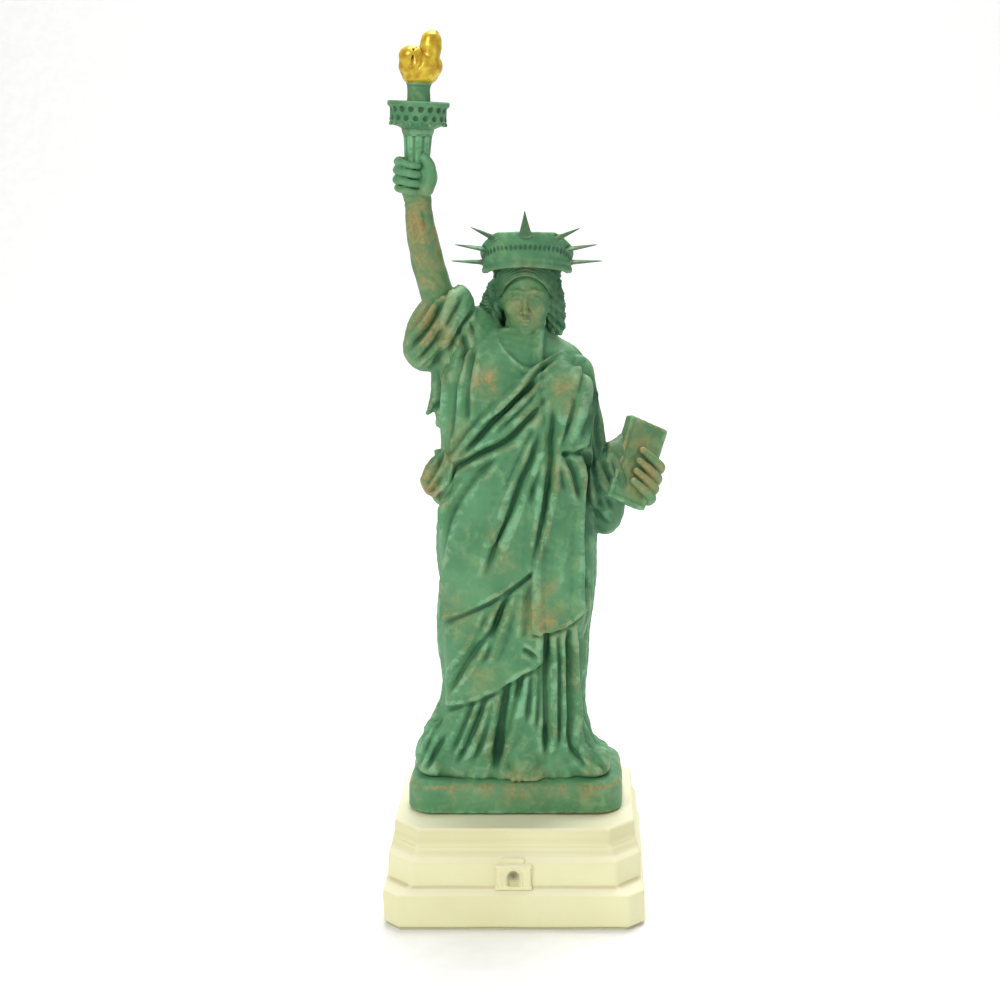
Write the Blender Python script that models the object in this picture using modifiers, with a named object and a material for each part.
"""Souvenir figure of a robed torch bearer on a stepped pedestal.

Metres, +Z up, the figure faces -Y.  Each sub-part is one closed solid in the
collection "landmark_figurine"; the cutting tools sit in "cutters".
"""
import math

import bmesh
import bpy
import numpy as np
from mathutils import Matrix, Vector

MM = 0.001
GAP = 0.3                      # glue or running gap between pieces, mm

# ---- driving dimensions, millimetres -------------------------------------
FELT_THICKNESS = 0.9
SHELL_BOTTOM = 1.2
BASE_HALF = (45.6, 42.0)       # half width, half depth of the lowest course
BASE_CORNER = 5.5
PEDESTAL_TOP = 34.5
CAVITY_HALF = (38.0, 31.0)
CAVITY_ROOF = 27.5
PLATE_THICKNESS = 2.4
PLATE_SCREW_XY = (32.0, 25.0)
FIGURE_SCREW_X = 20.0
PIN_Y = 15.0
PLINTH_HALF = (38.2, 22.5)
PLINTH_RADIUS = 10.0
PLINTH_TOP = 47.5
TENON_HALF = (12.0, 8.0)
TENON_DEPTH = 4.2
NECK_XY = (4.3, 1.0)
NECK_RADIUS = 5.8
DIADEM_CENTRE = (4.8, 1.0)
DIADEM_RADII = (13.4, 15.4)
TORCH_PIVOT = (-32.2, -3.0, 256.0)
TORCH_TILT = 2.5               # degrees, top towards +X
TORCH_TOP = 305.0
TABLET_SIZE = (16.0, 30.0, 4.2)
TABLET_TOP_MID = (46.6, 5.0, 170.3)
TABLET_WIDE = (0.801, 0.42, -0.425)    # along the top edge, outwards
TABLET_DOWN = (-0.279, -0.366, -0.888)

# z, left x, right x, front y, back y of the robe
ROBE = (
    (47.8, -30.5, 28.5, -19.5, 19.0),
    (52.0, -30.5, 28.0, -19.8, 19.5),
    (58.0, -28.8, 26.5, -19.2, 19.5),
    (65.0, -26.6, 25.0, -18.4, 19.0),
    (74.0, -25.2, 24.2, -18.2, 18.5),
    (86.0, -26.0, 24.6, -18.8, 18.0),
    (98.0, -26.6, 25.2, -19.6, 17.6),
    (110.0, -25.8, 26.6, -20.4, 17.2),
    (122.0, -26.0, 27.6, -20.6, 16.8),
    (134.0, -26.2, 27.8, -19.8, 16.2),
    (146.0, -25.2, 27.0, -18.8, 15.8),
    (158.0, -24.6, 26.4, -18.2, 15.4),
    (170.0, -24.2, 26.2, -17.8, 15.4),
    (181.0, -24.0, 26.4, -17.6, 15.2),
    (188.0, -23.2, 25.8, -16.4, 14.6),
    (193.5, -20.5, 23.2, -14.2, 13.4),
    (198.0, -15.0, 19.5, -11.6, 12.0),
    (201.0, -9.5, 16.0, -9.2, 10.6),
    (203.0, -6.0, 13.5, -7.6, 9.2),
)
ROBE_SIDES = 54
ROBE_LEVELS = 42

# carved grooves: depth, half width, then the x, z points of the line
GROOVES = (
    (2.2, 2.2, (10, 172), (6.5, 163), (2.5, 154), (-1.5, 143), (-5.5, 134), (-9.5, 123)),
    (2.2, 2.0, (13.5, 177), (13, 169), (12, 160), (11, 148), (9.5, 140), (7, 125)),
    (1.8, 2.2, (-5, 164), (-12, 155), (-19, 144), (-22, 132)),
    (2.2, 2.2, (15, 194), (5, 186), (-7, 174), (-15, 164)),
    (2.0, 2.2, (12, 182), (5, 176), (-5, 166), (-19, 156)),
    (1.8, 2.2, (16, 164), (20, 156), (22, 147)),
    (1.8, 2.0, (24, 156), (24.7, 147), (24.5, 120)),
    (2.0, 2.0, (-4, 113), (-7, 103), (-13, 94), (-22, 77)),
    (1.8, 2.0, (-1.5, 116), (-5, 107), (-10, 96)),
    (2.4, 2.2, (-2.5, 81), (-4, 71), (-7, 52)),
    (2.0, 2.0, (3.5, 85), (0.5, 76), (-4, 62)),
    (2.4, 2.0, (11, 100), (11, 57)),
    (2.2, 1.8, (19, 102), (19, 66)),
    (1.8, 2.0, (-14.9, 73), (-22, 57)),
    (1.8, 2.0, (-7, 77), (-17, 55)),
)
# hem lines of the mantle: thickness, then x, z points from left to right
HEMS = (
    (1.6, (-27, 101), (-14, 109.5), (-7, 114), (-2, 117.5), (6.5, 123.5)),
    (1.8, (7, 101.5), (11.5, 101.5), (18, 104), (27, 110)),
    (1.3, (-27, 70), (-13, 75.5), (-2, 82.5), (4, 86), (10, 90)),
)

COLOURS = {
    "patina": ((0.13, 0.33, 0.19, 1.0), 0.5, 0.25),
    "ivory": ((0.82, 0.79, 0.55, 1.0), 0.45, 0.0),
    "gold": ((0.75, 0.45, 0.05, 1.0), 0.35, 0.6),
    "felt": ((0.56, 0.54, 0.36, 1.0), 0.95, 0.0),
    "board": ((0.30, 0.20, 0.11, 1.0), 0.7, 0.0),
    "iron": ((0.20, 0.20, 0.21, 1.0), 0.55, 0.9),
    "steel": ((0.62, 0.63, 0.65, 1.0), 0.3, 1.0),
    "brass": ((0.70, 0.50, 0.20, 1.0), 0.3, 1.0),
}


# ---- scene helpers --------------------------------------------------------
def clear_scene():
    for item in list(bpy.data.objects):
        bpy.data.objects.remove(item, do_unlink=True)


def make_collection(name):
    coll = bpy.data.collections.new(name)
    bpy.context.scene.collection.children.link(coll)
    return coll


def make_material(name):
    colour, rough, metal = COLOURS[name]
    mat = bpy.data.materials.new(name)
    mat.use_nodes = True
    shader = mat.node_tree.nodes["Principled BSDF"]
    shader.inputs["Base Color"].default_value = colour
    shader.inputs["Roughness"].default_value = rough
    shader.inputs["Metallic"].default_value = metal
    mat.diffuse_color = colour
    return mat


def add_object(name, mesh, coll):
    obj = bpy.data.objects.new(name, mesh)
    coll.objects.link(obj)
    return obj


def object_from_bmesh(name, bm):
    bmesh.ops.recalc_face_normals(bm, faces=bm.faces)
    mesh = bpy.data.meshes.new(name)
    bm.to_mesh(mesh)
    bm.free()
    return add_object(name, mesh, CUTTERS)


def settle(obj):
    """Freeze the modifiers of obj into its mesh."""
    graph = bpy.context.evaluated_depsgraph_get()
    graph.update()
    mesh = bpy.data.meshes.new_from_object(obj.evaluated_get(graph))
    obj.modifiers.clear()
    obj.data = mesh
    return obj


def combine(obj, other, operation):
    """Apply one exact Boolean of other to obj and drop other."""
    mod = obj.modifiers.new("boolean", "BOOLEAN")
    mod.operation = operation
    mod.solver = "EXACT"
    mod.object = other
    settle(obj)
    bpy.data.objects.remove(other, do_unlink=True)
    return obj


def join(obj, *others):
    for other in others:
        combine(obj, other, "UNION")
    return obj


def cut(obj, *others):
    for other in others:
        combine(obj, other, "DIFFERENCE")
    return obj


def finish(obj, name, material, smooth=False):
    obj.name = name
    obj.data.name = name
    bm = bmesh.new()
    bm.from_mesh(obj.data)
    bmesh.ops.remove_doubles(bm, verts=bm.verts, dist=0.02 * MM)
    bmesh.ops.dissolve_degenerate(bm, edges=bm.edges, dist=0.01 * MM)
    bmesh.ops.triangulate(bm, faces=[f for f in bm.faces if len(f.verts) > 4])
    loose = [f for f in bm.faces if any(len(e.link_faces) != 2 for e in f.edges)]
    bmesh.ops.delete(bm, geom=loose, context="FACES")
    bmesh.ops.recalc_face_normals(bm, faces=bm.faces)
    bm.to_mesh(obj.data)
    bm.free()
    obj.data.materials.clear()
    obj.data.materials.append(MATERIALS[material])
    if smooth:
        obj.data.shade_smooth()
    CUTTERS.objects.unlink(obj)
    PARTS.objects.link(obj)
    return obj


# ---- solid helpers --------------------------------------------------------
def box(low, high, name="box"):
    bm = bmesh.new()
    size = [(high[i] - low[i]) * MM for i in range(3)]
    mid = [(high[i] + low[i]) * 0.5 * MM for i in range(3)]
    bmesh.ops.create_cube(bm, size=1.0)
    bmesh.ops.scale(bm, vec=size, verts=bm.verts)
    bmesh.ops.translate(bm, vec=mid, verts=bm.verts)
    return object_from_bmesh(name, bm)


def cylinder(centre, radius, low, high, sides=20, top=None, name="cylinder"):
    bm = bmesh.new()
    far = radius if top is None else top
    bmesh.ops.create_cone(bm, cap_ends=True, segments=sides, radius1=radius * MM,
                          radius2=far * MM, depth=(high - low) * MM)
    mid = (centre[0] * MM, centre[1] * MM, (low + high) * 0.5 * MM)
    bmesh.ops.translate(bm, vec=mid, verts=bm.verts)
    return object_from_bmesh(name, bm)


def ball(centre, radii, segments=20, rings=12, name="ball", turn=None):
    bm = bmesh.new()
    bmesh.ops.create_uvsphere(bm, u_segments=segments, v_segments=rings, radius=1.0)
    bmesh.ops.scale(bm, vec=[r * MM for r in radii], verts=bm.verts)
    if turn is not None:
        bmesh.ops.rotate(bm, cent=(0, 0, 0), matrix=turn, verts=bm.verts)
    bmesh.ops.translate(bm, vec=[c * MM for c in centre], verts=bm.verts)
    return object_from_bmesh(name, bm)


def loft(rings, name="loft"):
    """Closed solid through rings of equally many points (mm)."""
    bm = bmesh.new()
    rows = []
    for ring in rings:
        rows.append([bm.verts.new([c * MM for c in point]) for point in ring])
    count = len(rows[0])
    for low, high in zip(rows[:-1], rows[1:]):
        for i in range(count):
            j = (i + 1) % count
            bm.faces.new((low[i], low[j], high[j], high[i]))
    bm.faces.new(list(reversed(rows[0])))
    bm.faces.new(rows[-1])
    return object_from_bmesh(name, bm)


def turned(profile, centre=(0.0, 0.0), steps=28, name="turned"):
    """Solid of revolution; profile is (radius, z) from top to bottom."""
    mesh = bpy.data.meshes.new(name)
    points = [(r * MM, 0.0, z * MM) for r, z in profile]
    mesh.from_pydata(points, [(i, i + 1) for i in range(len(points) - 1)], [])
    obj = add_object(name, mesh, CUTTERS)
    mod = obj.modifiers.new("screw", "SCREW")
    mod.steps = steps
    mod.render_steps = steps
    mod.axis = "Z"
    mod.use_merge_vertices = True
    mod.merge_threshold = 0.01 * MM
    settle(obj)
    obj.data.transform(Matrix.Translation((centre[0] * MM, centre[1] * MM, 0.0)))
    return clean(obj)


def clean(obj):
    bm = bmesh.new()
    bm.from_mesh(obj.data)
    bmesh.ops.remove_doubles(bm, verts=bm.verts, dist=0.01 * MM)
    bmesh.ops.recalc_face_normals(bm, faces=bm.faces)
    bm.to_mesh(obj.data)
    bm.free()
    return obj


def tube(points, radii, resolution=2, name="tube"):
    """Round bar along a smooth line, capped at both ends."""
    curve = bpy.data.curves.new(name, "CURVE")
    curve.dimensions = "3D"
    curve.bevel_depth = MM
    curve.bevel_resolution = resolution
    curve.use_fill_caps = True
    spline = curve.splines.new("POLY")
    spline.points.add(len(points) - 1)
    for knot, point, radius in zip(spline.points, points, radii):
        knot.co = (point[0] * MM, point[1] * MM, point[2] * MM, 1.0)
        knot.radius = radius
    holder = add_object(name, curve, CUTTERS)
    graph = bpy.context.evaluated_depsgraph_get()
    graph.update()
    mesh = bpy.data.meshes.new_from_object(holder.evaluated_get(graph))
    bpy.data.objects.remove(holder, do_unlink=True)
    return clean(add_object(name, mesh, CUTTERS))


def chamfered(half_x, half_y, corner, z):
    """Eight-sided outline of a rectangle with cut corners."""
    return [
        (half_x, -half_y + corner, z), (half_x, half_y - corner, z),
        (half_x - corner, half_y, z), (-half_x + corner, half_y, z),
        (-half_x, half_y - corner, z), (-half_x, -half_y + corner, z),
        (-half_x + corner, -half_y, z), (half_x - corner, -half_y, z),
    ]


def rounded(half_x, half_y, radius, z, per_corner=6):
    outline = []
    centres = ((1, 1, 0), (-1, 1, 90), (-1, -1, 180), (1, -1, 270))
    for sx, sy, start in centres:
        for k in range(per_corner + 1):
            a = math.radians(start + 90.0 * k / per_corner)
            x = sx * (half_x - radius) + radius * math.cos(a)
            y = sy * (half_y - radius) + radius * math.sin(a)
            outline.append((x, y, z))
    return outline


def torch_matrix():
    """Tilt of the torch about the middle of the grip."""
    pivot = Vector(TORCH_PIVOT) * MM
    turn = Matrix.Rotation(math.radians(TORCH_TILT), 4, "Y")
    return Matrix.Translation(pivot) @ turn @ Matrix.Translation(-pivot)


def tilt_torch(obj):
    obj.data.transform(torch_matrix())
    return obj


# ---- pedestal -------------------------------------------------------------
def build_felt_pad():
    hx, hy = BASE_HALF[0] - 1.0, BASE_HALF[1] - 1.0
    pad = loft([chamfered(hx, hy, BASE_CORNER, z) for z in (0.0, FELT_THICKNESS)])
    return finish(pad, "felt_pad", "felt")


def build_pedestal_shell():
    profile = (
        (SHELL_BOTTOM, 45.6, 42.0, 5.5), (12.6, 45.6, 42.0, 5.5),
        (13.0, 45.2, 41.6, 5.5), (15.0, 44.4, 38.8, 8.7),
        (23.6, 44.3, 38.7, 8.8), (25.5, 43.4, 36.8, 9.2),
        (26.6, 43.0, 36.0, 9.2), (28.2, 42.5, 35.2, 9.2),
        (30.5, 42.2, 34.7, 9.2), (34.1, 42.2, 34.7, 9.2),
        (PEDESTAL_TOP, 41.8, 34.3, 9.0),
    )
    shell = loft([chamfered(hx, hy, c, z) for z, hx, hy, c in profile], "shell")
    join(shell, box((-8.5, -40.2, 14.4), (6.5, -37.5, 24.4)))
    join(shell, box((-6.0, -38.6, 24.0), (4.0, -35.8, 26.8)))
    cut(shell, box((-3.3, -41.0, 15.8), (1.3, -38.9, 19.6)))
    cut(shell, cylinder_along_y((-1.0, -40.0, 19.6), 2.3, 2.2))
    hx, hy = CAVITY_HALF
    cut(shell, loft([chamfered(hx + 3.5, hy + 7.0, 7.0, z) for z in (0.0, 3.9)]))
    cut(shell, loft([chamfered(hx, hy, 9.0, z) for z in (3.0, CAVITY_ROOF)]))
    for x, y in corner_points():
        join(shell, cylinder((x, y), 4.0, 3.9, CAVITY_ROOF + 0.5, 16))
        cut(shell, cylinder((x, y), 1.5, 3.0, 13.5, 12))
    for x in (-FIGURE_SCREW_X, FIGURE_SCREW_X):
        cut(shell, cylinder((x, 0.0), 2.3, 26.0, 36.0, 16))
    for y in (-PIN_Y, PIN_Y):
        cut(shell, cylinder((0.0, y), 2.36, 29.7, 36.0, 16))
    return finish(shell, "pedestal_shell", "ivory")


def cylinder_along_y(centre, radius, depth, sides=16):
    tool = cylinder((0.0, 0.0), radius, -depth / 2, depth / 2, sides)
    place = Matrix.Translation(Vector(centre) * MM)
    tool.data.transform(place @ Matrix.Rotation(math.radians(90.0), 4, "X"))
    return tool


def corner_points():
    px, py = PLATE_SCREW_XY
    return ((-px, -py), (px, -py), (px, py), (-px, py))


def build_base_plate():
    top = SHELL_BOTTOM + PLATE_THICKNESS
    hx, hy = CAVITY_HALF[0] + 3.5 - GAP, CAVITY_HALF[1] + 7.0 - GAP
    plate = loft([chamfered(hx, hy, 7.0, z) for z in (SHELL_BOTTOM, top)])
    for x, y in corner_points():
        cut(plate, cylinder((x, y), 1.6, 0.0, 5.0, 16))
        cut(plate, cylinder((x, y), 3.4, SHELL_BOTTOM - 0.1, SHELL_BOTTOM + 2.0, 16, top=1.5))
    return finish(plate, "base_plate", "board")


def build_plate_screw(index, xy):
    z = SHELL_BOTTOM
    profile = ((0.0, 12.6), (0.6, 12.4), (1.15, 11.0), (1.15, z + 1.75),
               (2.85, z + 0.05), (0.0, z + 0.05))
    screw = turned(profile, xy, 12)
    cut(screw, box((xy[0] - 1.6, xy[1] - 0.3, z - 0.5), (xy[0] + 1.6, xy[1] + 0.3, z + 0.7)))
    return finish(screw, "plate_screw_%d" % index, "steel", smooth=False)


def build_ballast():
    block = box((-27.5, -30.6, 4.2), (27.5, 30.6, CAVITY_ROOF - GAP))
    for x in (-FIGURE_SCREW_X, FIGURE_SCREW_X):
        cut(block, cylinder((x, 0.0), 5.2, 3.0, 30.0, 24))
    return finish(block, "ballast_block", "iron")


def build_figure_screw(index, x):
    head = turned(((0.0, 42.5), (1.5, 42.5), (1.95, 42.0), (1.95, 25.9),
                   (3.6, 25.9), (3.6, 23.2), (3.3, 22.9), (0.0, 22.9)), (x, 0.0), 20)
    cut(head, cylinder((x, 0.0), 1.7, 22.0, 24.8, 6))
    return finish(head, "figure_screw_%d" % index, "steel")


def build_washer(index, x):
    ring = cylinder((x, 0.0), 4.4, 26.2, 27.2, 20)
    cut(ring, cylinder((x, 0.0), 2.35, 25.0, 28.0, 20))
    return finish(ring, "screw_washer_%d" % index, "steel")


def build_insert(index, x):
    body = cylinder((x, 0.0), 3.2, 35.1, 43.0, 20)
    cut(body, cylinder((x, 0.0), 2.35, 34.0, 44.0, 20))
    return finish(body, "threaded_insert_%d" % index, "brass")


def build_pin(index, y):
    pin = turned(((0.0, 40.0), (1.7, 40.0), (2.0, 39.7), (2.0, 30.3), (1.7, 30.0),
                  (0.0, 30.0)), (0.0, y), 20)
    return finish(pin, "locating_pin_%d" % index, "steel")


def build_plinth():
    hx, hy = PLINTH_HALF
    low = PEDESTAL_TOP + GAP
    levels = ((low, 0.5), (low + 0.5, 0.0), (PLINTH_TOP - 1.0, 0.2), (PLINTH_TOP, 1.1))
    slab = loft([rounded(hx - i, hy - i, PLINTH_RADIUS - i, z) for z, i in levels])
    tx, ty = TENON_HALF[0] + GAP, TENON_HALF[1] + GAP
    cut(slab, box((-tx, -ty, PLINTH_TOP - TENON_DEPTH - GAP), (tx, ty, PLINTH_TOP + 1.0)))
    for x in (-FIGURE_SCREW_X, FIGURE_SCREW_X):
        cut(slab, cylinder((x, 0.0), 3.56, 34.0, 43.4, 20))
    for y in (-PIN_Y, PIN_Y):
        cut(slab, cylinder((0.0, y), 2.36, 34.0, 40.3, 16))
    return finish(slab, "figure_plinth", "patina")


# ---- robed body -----------------------------------------------------------
def distance_to_line(x, z, line):
    best = np.full(np.shape(x), 1e9)
    for (x0, z0), (x1, z1) in zip(line[:-1], line[1:]):
        dx, dz = x1 - x0, z1 - z0
        t = np.clip(((x - x0) * dx + (z - z0) * dz) / (dx * dx + dz * dz), 0.0, 1.0)
        best = np.minimum(best, np.hypot(x - x0 - t * dx, z - z0 - t * dz))
    return best


def step(value, width):
    t = np.clip(value / width + 0.5, 0.0, 1.0)
    return t * t * (3.0 - 2.0 * t)


def front_relief(x, z):
    """Relief of the front of the robe, outwards, in mm."""
    relief = np.zeros(np.shape(x))
    for depth, width, *line in GROOVES:
        reach = distance_to_line(x, z, line) / width
        relief = relief - depth * np.exp(-reach * reach)
    for thickness, *line in HEMS:
        xs = [p[0] for p in line]
        zs = [p[1] for p in line]
        inside = step(x - xs[0], 2.0) * step(xs[-1] - x, 2.0)
        layer = step(z - np.interp(x, xs, zs), 3.0)
        relief = relief + thickness * layer * inside
    return relief


def robe_surface(z, angle):
    """Point grids of the robe for levels z and angles (0 at +X, 270 at front)."""
    table = np.array(ROBE)
    left, right, front, back = (np.interp(z, table[:, 0], table[:, k]) for k in (1, 2, 3, 4))
    c, s = np.cos(angle), np.sin(angle)
    power = 2.0 / 2.35
    cx = np.sign(c) * np.abs(c) ** power
    sy = np.sign(s) * np.abs(s) ** power
    x = (left + right) / 2 + (right - left) / 2 * cx
    y = np.where(s < 0, -sy * front, sy * back)
    facing = step(-s - 0.12, 0.5)
    relief = front_relief(x, z) * facing
    back_folds = 0.9 * np.cos(13.0 * angle + 0.02 * z) * step(s - 0.1, 0.6)
    relief = relief + back_folds * step(150.0 - z, 90.0)
    fade = step(z - 50.0, 6.0) * step(199.0 - z, 6.0)
    relief = relief * fade
    return x + relief * c * 0.6, y + relief * s


def build_robe():
    angles = np.linspace(0.0, 2.0 * math.pi, ROBE_SIDES, endpoint=False)
    angles = angles + 0.22 * np.sin(2.0 * angles) * 0.5
    levels = np.linspace(ROBE[0][0], ROBE[-1][0], ROBE_LEVELS)
    z, a = np.meshgrid(levels, angles, indexing="ij")
    x, y = robe_surface(z, a)
    rings = [list(zip(x[i], y[i], z[i])) for i in range(ROBE_LEVELS)]
    return loft(rings, "robe")


def arm_path(extra=0.0):
    points = ((-21.5, 0.0, 203.0), (-23.0, -0.5, 207.0), (-25.2, -1.5, 213.5),
              (-27.4, -2.2, 220.5), (-29.8, -2.8, 230.5), (-31.4, -3.0, 241.0),
              (-32.0, -3.0, 249.5))
    radii = (4.6, 5.5, 6.1, 6.1, 5.7, 5.0, 4.5)
    return points, [r + extra for r in radii]


def build_figure_body():
    body = build_robe()
    lean = Matrix.Rotation(math.radians(33.0), 3, "Y")
    sleeve = ball((-25.6, -1.0, 205.0), (9.6, 9.8, 16.6), 20, 12, turn=lean)
    shoulder = tube(((-6.0, 1.0, 188.0), (-12.0, 0.6, 196.0), (-19.0, 0.0, 203.0)),
                    (7.0, 9.2, 8.6), 3)
    join(body, shoulder, sleeve)
    join(body, ball((-25.0, 2.5, 184.0), (4.8, 8.0, 12.5), 16, 10))
    join(body, ball((-25.0, -6.0, 152.5), (6.6, 7.0, 7.5), 16, 10))
    upper_arm = tube(((19.0, 1.0, 193.0), (22.5, 0.0, 184.0), (25.0, -1.0, 170.0),
                      (27.0, -1.5, 156.0), (27.5, -1.0, 146.0), (27.0, 0.0, 137.0)),
                     (4.0, 6.4, 7.2, 7.6, 7.0, 4.5), 3)
    forearm = tube(((20.0, -2.0, 149.0), (28.0, -1.0, 149.6), (35.6, 1.2, 150.8)),
                   (7.0, 7.8, 6.2), 3)
    cloth = ball((31.8, -0.8, 142.3), (6.2, 5.7, 10.8), 18, 11)
    join(body, upper_arm, forearm, cloth)
    join(body, box((-TENON_HALF[0], -TENON_HALF[1], PLINTH_TOP - TENON_DEPTH),
                   (TENON_HALF[0], TENON_HALF[1], 49.5)))
    cut(body, cylinder(NECK_XY, NECK_RADIUS + GAP, 193.7, 206.0, 28))
    points, radii = arm_path(GAP)
    start = (-21.3, 0.1, 202.6)
    cut(body, tube((start,) + points[1:5], radii[:5], 3))
    cut(body, tube(rod_ends(0.4), (1.55, 1.55), 2))
    cut(body, tablet_block(GAP), *hand_solids(GAP))
    cut(body, tube(((30.7, 0.64, 150.15), (38.0, 2.2, 151.3)), (3.3, 3.3), 2))
    cut(body, *hair_locks(GAP + 0.1))
    return finish(body, "figure_body", "patina", smooth=True)


def rod_ends(extra=0.0):
    """Ends of the steel rod that carries the raised arm."""
    low, high = Vector((-17.8, 0.7, 194.0)), Vector((-28.9, -2.5, 226.0))
    along = (high - low).normalized() * extra
    return tuple(low - along), tuple(high + along)


def build_arm_rod():
    rod = tube(rod_ends(), (1.25, 1.25), 2)
    return finish(rod, "arm_rod", "steel", smooth=False)


def build_raised_arm():
    points, radii = arm_path()
    arm = tube(points, radii, 3)
    palm = ball((-32.4, -3.0, 256.0), (6.6, 6.4, 8.0), 16, 10)
    join(arm, palm)
    for k, z in enumerate((252.4, 256.0, 259.6, 262.6)):
        reach = 7.0 - 0.25 * k
        cx, cy = TORCH_PIVOT[0] + 0.2, TORCH_PIVOT[1]
        bend = [(cx + reach * math.cos(math.radians(a)), cy + reach * math.sin(math.radians(a)), z)
                for a in (150, 180, 210, 240, 270)]
        join(arm, tube(bend, (1.5, 1.7, 1.7, 1.6, 1.3), 1))
    thumb = ((-27.5, -2.0, 256.0), (-26.6, -5.0, 260.0), (-28.0, -8.2, 263.0))
    join(arm, tube(thumb, (2.0, 1.8, 1.4), 1))
    cut(arm, tilt_torch(cylinder(TORCH_PIVOT[:2], 3.6 + GAP, 250.6, 270.0, 24, top=5.2)))
    cut(arm, tube(rod_ends(0.4), (1.55, 1.55), 2))
    return finish(arm, "raised_arm", "patina", smooth=True)


# ---- torch ----------------------------------------------------------------
def build_torch_handle():
    profile = ((0.0, 274.6), (2.3, 274.6), (2.3, 272.0), (5.2, 272.0), (4.6, 270.4),
               (4.2, 268.0), (4.35, 266.2), (4.1, 265.0), (3.5, 251.0), (0.0, 251.0))
    handle = tilt_torch(turned(profile, TORCH_PIVOT[:2], 24))
    return finish(handle, "torch_handle", "patina", smooth=False)


def build_torch_gallery():
    profile = ((0.0, 278.4), (8.6, 278.4), (8.6, 281.2), (10.3, 281.2), (10.3, 279.9),
               (9.5, 279.6), (9.4, 275.0), (8.9, 273.8), (6.0, 272.3), (0.0, 272.3))
    cup = turned(profile, TORCH_PIVOT[:2], 32)
    cut(cup, cylinder(TORCH_PIVOT[:2], 2.6, 271.0, 275.0, 16))
    cut(cup, cylinder(TORCH_PIVOT[:2], 2.3, 276.0, 280.0, 16))
    count = 12
    for k in range(count):
        turn = 2.0 * math.pi * (k + 0.5) / count
        window = box((-0.8, -10.2, 276.0), (0.8, -8.9, 278.2))
        window.data.transform(Matrix.Rotation(turn, 4, "Z"))
        window.data.transform(Matrix.Translation((TORCH_PIVOT[0] * MM, TORCH_PIVOT[1] * MM, 0)))
        cut(cup, window)
    return finish(tilt_torch(cup), "torch_gallery", "patina")


def build_flame_holder():
    profile = ((0.0, 286.6), (2.6, 286.6), (2.6, 288.2), (4.2, 288.2), (4.2, 287.0),
               (3.9, 286.6), (3.9, 280.2), (4.4, 279.4), (4.4, 278.7), (2.0, 278.7),
               (2.0, 276.3), (0.0, 276.3))
    holder = tilt_torch(turned(profile, TORCH_PIVOT[:2], 24))
    return finish(holder, "flame_holder", "patina")


def build_flame():
    levels = ((286.9, 0.0, 2.3), (288.5, 0.0, 2.3), (288.5, 0.0, 4.0), (290.3, 0.0, 5.7),
              (293.3, 0.0, 6.7), (296.2, 0.1, 6.2), (298.8, 1.2, 4.7), (301.2, 2.6, 3.0),
              (303.4, 3.4, 1.7), (TORCH_TOP + 0.2, 3.8, 0.5))
    rings = []
    for z, shift, radius in levels:
        ring = []
        for k in range(24):
            a = 2.0 * math.pi * k / 24
            wave = 1.0 + 0.07 * math.sin(4.0 * a + 0.35 * z) * (radius > 4.2)
            ring.append((TORCH_PIVOT[0] + shift + radius * wave * math.cos(a),
                         TORCH_PIVOT[1] + 0.9 * radius * wave * math.sin(a), z))
        rings.append(ring)
    return finish(tilt_torch(loft(rings)), "torch_flame", "gold", smooth=True)


# ---- head and crown -------------------------------------------------------
def build_head():
    head = ball((4.5, -0.8, 214.6), (9.0, 10.6, 12.6), 24, 16)
    join(head, ball((4.8, 2.4, 224.0), (12.4, 11.4, 12.4), 24, 14))
    join(head, cylinder(NECK_XY, NECK_RADIUS, 194.0, 210.0, 24))
    join(head, ball((4.5, 12.5, 214.5), (6.0, 5.0, 5.6), 16, 10))
    join(head, *hair_locks())
    return finish(head, "head", "patina", smooth=True)


def hair_locks(extra=0.0):
    left = ((-5.0, 3.5, 222.0), (-8.6, 3.0, 216.0), (-9.6, 2.5, 210.0 - extra))
    right = ((14.0, 3.5, 221.0), (16.0, 3.0, 213.0), (15.8, 2.6, 205.0 - extra))
    return [tube(left, [r + extra for r in (3.0, 3.2, 2.2)], 2),
            tube(right, [r + extra for r in (3.0, 2.8, 2.0)], 2)]


def diadem_edges(phi):
    """Bottom and top edge heights of the diadem at angle phi from the front."""
    side = abs(math.degrees(phi))
    low = 226.6 - 3.2 * min(1.0, side / 80.0) ** 1.6
    high = float(np.interp(side, (0, 40, 75, 105), (238.6, 238.0, 233.0, 228.6)))
    return low, high


def build_diadem():
    inner, outer = DIADEM_RADII
    cx, cy = DIADEM_CENTRE
    rings = []
    for phi in np.linspace(math.radians(-105), math.radians(105), 29):
        low, high = diadem_edges(phi)
        sx, sy = math.sin(phi), -math.cos(phi)
        flare = 0.6
        rings.append([(cx + inner * sx, cy + inner * sy, low),
                      (cx + outer * sx, cy + outer * sy, low),
                      (cx + (outer + flare) * sx, cy + (outer + flare) * sy, high),
                      (cx + inner * sx, cy + inner * sy, high)])
    band = loft(rings)
    for index in range(7):
        base, along, _, _ = ray_frame(index)
        low, high = base - along * 1.35, base + along * 3.0
        cut(band, tube((tuple(low), tuple(high)), (0.8, 0.8), 1))
    return finish(band, "diadem", "patina")


RAYS = (  # angle from the front, rise, height of the root, length
    (-82.0, 3.0, 227.2, 9.9), (-68.0, 10.0, 232.0, 9.6), (-46.0, 22.0, 236.4, 9.4),
    (0.0, 58.0, 237.6, 9.0),
    (46.0, 20.0, 236.4, 9.4), (68.0, 10.0, 232.0, 9.6), (82.0, 3.0, 227.2, 9.9),
)


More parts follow.
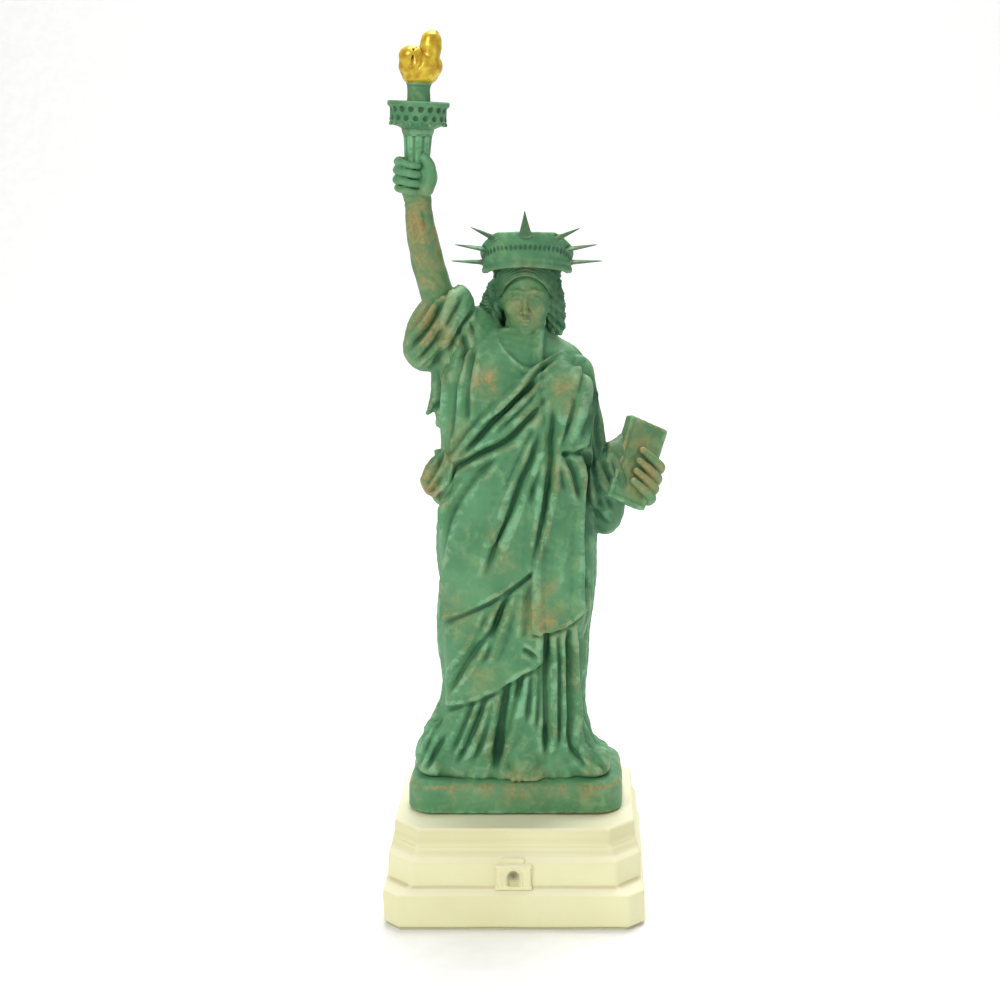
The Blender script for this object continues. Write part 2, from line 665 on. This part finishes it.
def ray_frame(index):
    """Root point, direction, width direction and length of one crown ray."""
    turn, rise, height, length = RAYS[index]
    phi, e = math.radians(turn), math.radians(rise)
    flat = Vector((math.sin(phi), -math.cos(phi), 0.0))
    low, high = diadem_edges(phi)
    reach = DIADEM_RADII[1] + 0.6 * (height - low) / (high - low)
    root = Vector((DIADEM_CENTRE[0], DIADEM_CENTRE[1], height)) + flat * reach
    along = flat * math.cos(e) + Vector((0, 0, math.sin(e)))
    across = Vector((math.cos(phi), math.sin(phi), 0.0))
    return root, along, across, length


def build_crown_ray(index):
    root, along, across, length = ray_frame(index)
    up = across.cross(along)
    start = GAP + 0.75
    bm = bmesh.new()
    bmesh.ops.create_cone(bm, cap_ends=True, segments=8, radius1=1.0, radius2=0.12, depth=1.0)
    frame = Matrix((across * 2.3, up * 0.75, along * length)).transposed().to_4x4()
    frame.translation = root + along * (start + length / 2)
    frame = Matrix.Scale(MM, 4) @ frame
    bmesh.ops.transform(bm, matrix=frame, verts=bm.verts)
    ray = object_from_bmesh("ray", bm)
    peg = (tuple(root - along * 1.05), tuple(root + along * (start + 0.6)))
    join(ray, tube(peg, (0.5, 0.5), 1))
    return finish(ray, "crown_ray_%d" % (index + 1), "patina")


# ---- tablet and left hand -------------------------------------------------
def tablet_axes():
    wide = Vector(TABLET_WIDE).normalized()
    down = Vector(TABLET_DOWN)
    down = (down - wide * down.dot(wide)).normalized()
    return wide, down, down.cross(wide)


def tablet_block(extra=0.0):
    wide, down, front = tablet_axes()
    w, h, t = (size + 2 * extra for size in TABLET_SIZE)
    bm = bmesh.new()
    bmesh.ops.create_cube(bm, size=1.0)
    frame = Matrix((wide * w, down * h, front * t)).transposed().to_4x4()
    frame.translation = Vector(TABLET_TOP_MID) + down * TABLET_SIZE[1] / 2
    bmesh.ops.transform(bm, matrix=Matrix.Scale(MM, 4) @ frame, verts=bm.verts)
    return object_from_bmesh("tablet", bm)


def tablet_point(across, along, out):
    """Point on the tablet: across its width, down its length, out of its face."""
    wide, down, front = tablet_axes()
    return tuple(Vector(TABLET_TOP_MID) + wide * across + down * along + front * out)


def build_tablet():
    slab = tablet_block()
    cut(slab, tube((tablet_point(0.5, 17.0, -0.1), tablet_point(0.5, 17.0, -4.0)), (1.35, 1.35), 2))
    return finish(slab, "tablet", "patina")


def build_tablet_pin():
    ends = (tablet_point(0.5, 17.0, -0.4), tablet_point(0.5, 17.0, -4.0))
    return finish(tube(ends, (1.0, 1.0), 2), "tablet_pin", "steel")


def hand_solids(extra=0.0):
    """Palm, fingers, thumb and wrist of the left hand, grown by extra."""
    face = TABLET_SIZE[2] / 2 + GAP
    edge = TABLET_SIZE[0] / 2 + GAP
    turn = Matrix(tablet_axes()).transposed()
    palm = tablet_point(1.5, 17.5, -face - 2.4)
    radii = [r + extra for r in (5.8, 7.2, 2.8)]
    solids = [ball(palm, radii, 16, 10, turn=turn)]
    for k, along in enumerate((11.0, 15.0, 19.0, 22.8)):
        reach = edge + 1.5 - 0.3 * abs(k - 1)
        joints = (tablet_point(3.0, along, -face - 2.2),
                  tablet_point(reach - 0.6, along, -face - 0.9),
                  tablet_point(reach + 0.4, along, 0.3),
                  tablet_point(edge + 0.2, along - 0.3, face + 1.2),
                  tablet_point(3.8, along - 0.9, face + 1.5),
                  tablet_point(1.0, along - 1.0, face + 1.3))
        radii = [r + extra for r in (1.8, 1.9, 1.8, 1.75, 1.65, 1.3)]
        solids.append(tube(joints, radii, 1))
    thumb = (tablet_point(0.5, 14.0, -face - 2.6), tablet_point(1.5, 9.0, -face - 2.2),
             tablet_point(2.6, 5.6, -face - 1.8))
    solids.append(tube(thumb, [r + extra for r in (2.2, 1.9, 1.4)], 1))
    wrist = (palm, (38.0, 2.2, 151.3), (31.0, 0.7, 150.2))
    solids.append(tube(wrist, [3.0 + extra] * 3, 2))
    return solids


def build_left_hand():
    solids = hand_solids()
    hand = join(solids[0], *solids[1:])
    cut(hand, tablet_block(GAP))
    cut(hand, tube((tablet_point(0.5, 17.0, 0.0), tablet_point(0.5, 17.0, -4.3)), (1.35, 1.35), 2))
    return finish(hand, "left_hand", "patina", smooth=True)


def build_all():
    build_felt_pad()
    build_pedestal_shell()
    build_base_plate()
    for index, xy in enumerate(corner_points(), 1):
        build_plate_screw(index, xy)
    build_ballast()
    for index, x in enumerate((-FIGURE_SCREW_X, FIGURE_SCREW_X), 1):
        build_figure_screw(index, x)
        build_washer(index, x)
        build_insert(index, x)
    for index, y in enumerate((-PIN_Y, PIN_Y), 1):
        build_pin(index, y)
    build_plinth()
    build_figure_body()
    build_arm_rod()
    build_raised_arm()
    build_torch_handle()
    build_torch_gallery()
    build_flame_holder()
    build_flame()
    build_head()
    build_diadem()
    for index in range(7):
        build_crown_ray(index)
    build_tablet()
    build_tablet_pin()
    build_left_hand()


clear_scene()
PARTS = make_collection("landmark_figurine")
CUTTERS = make_collection("cutters")
CUTTERS.hide_render = True
MATERIALS = {name: make_material(name) for name in COLOURS}
build_all()
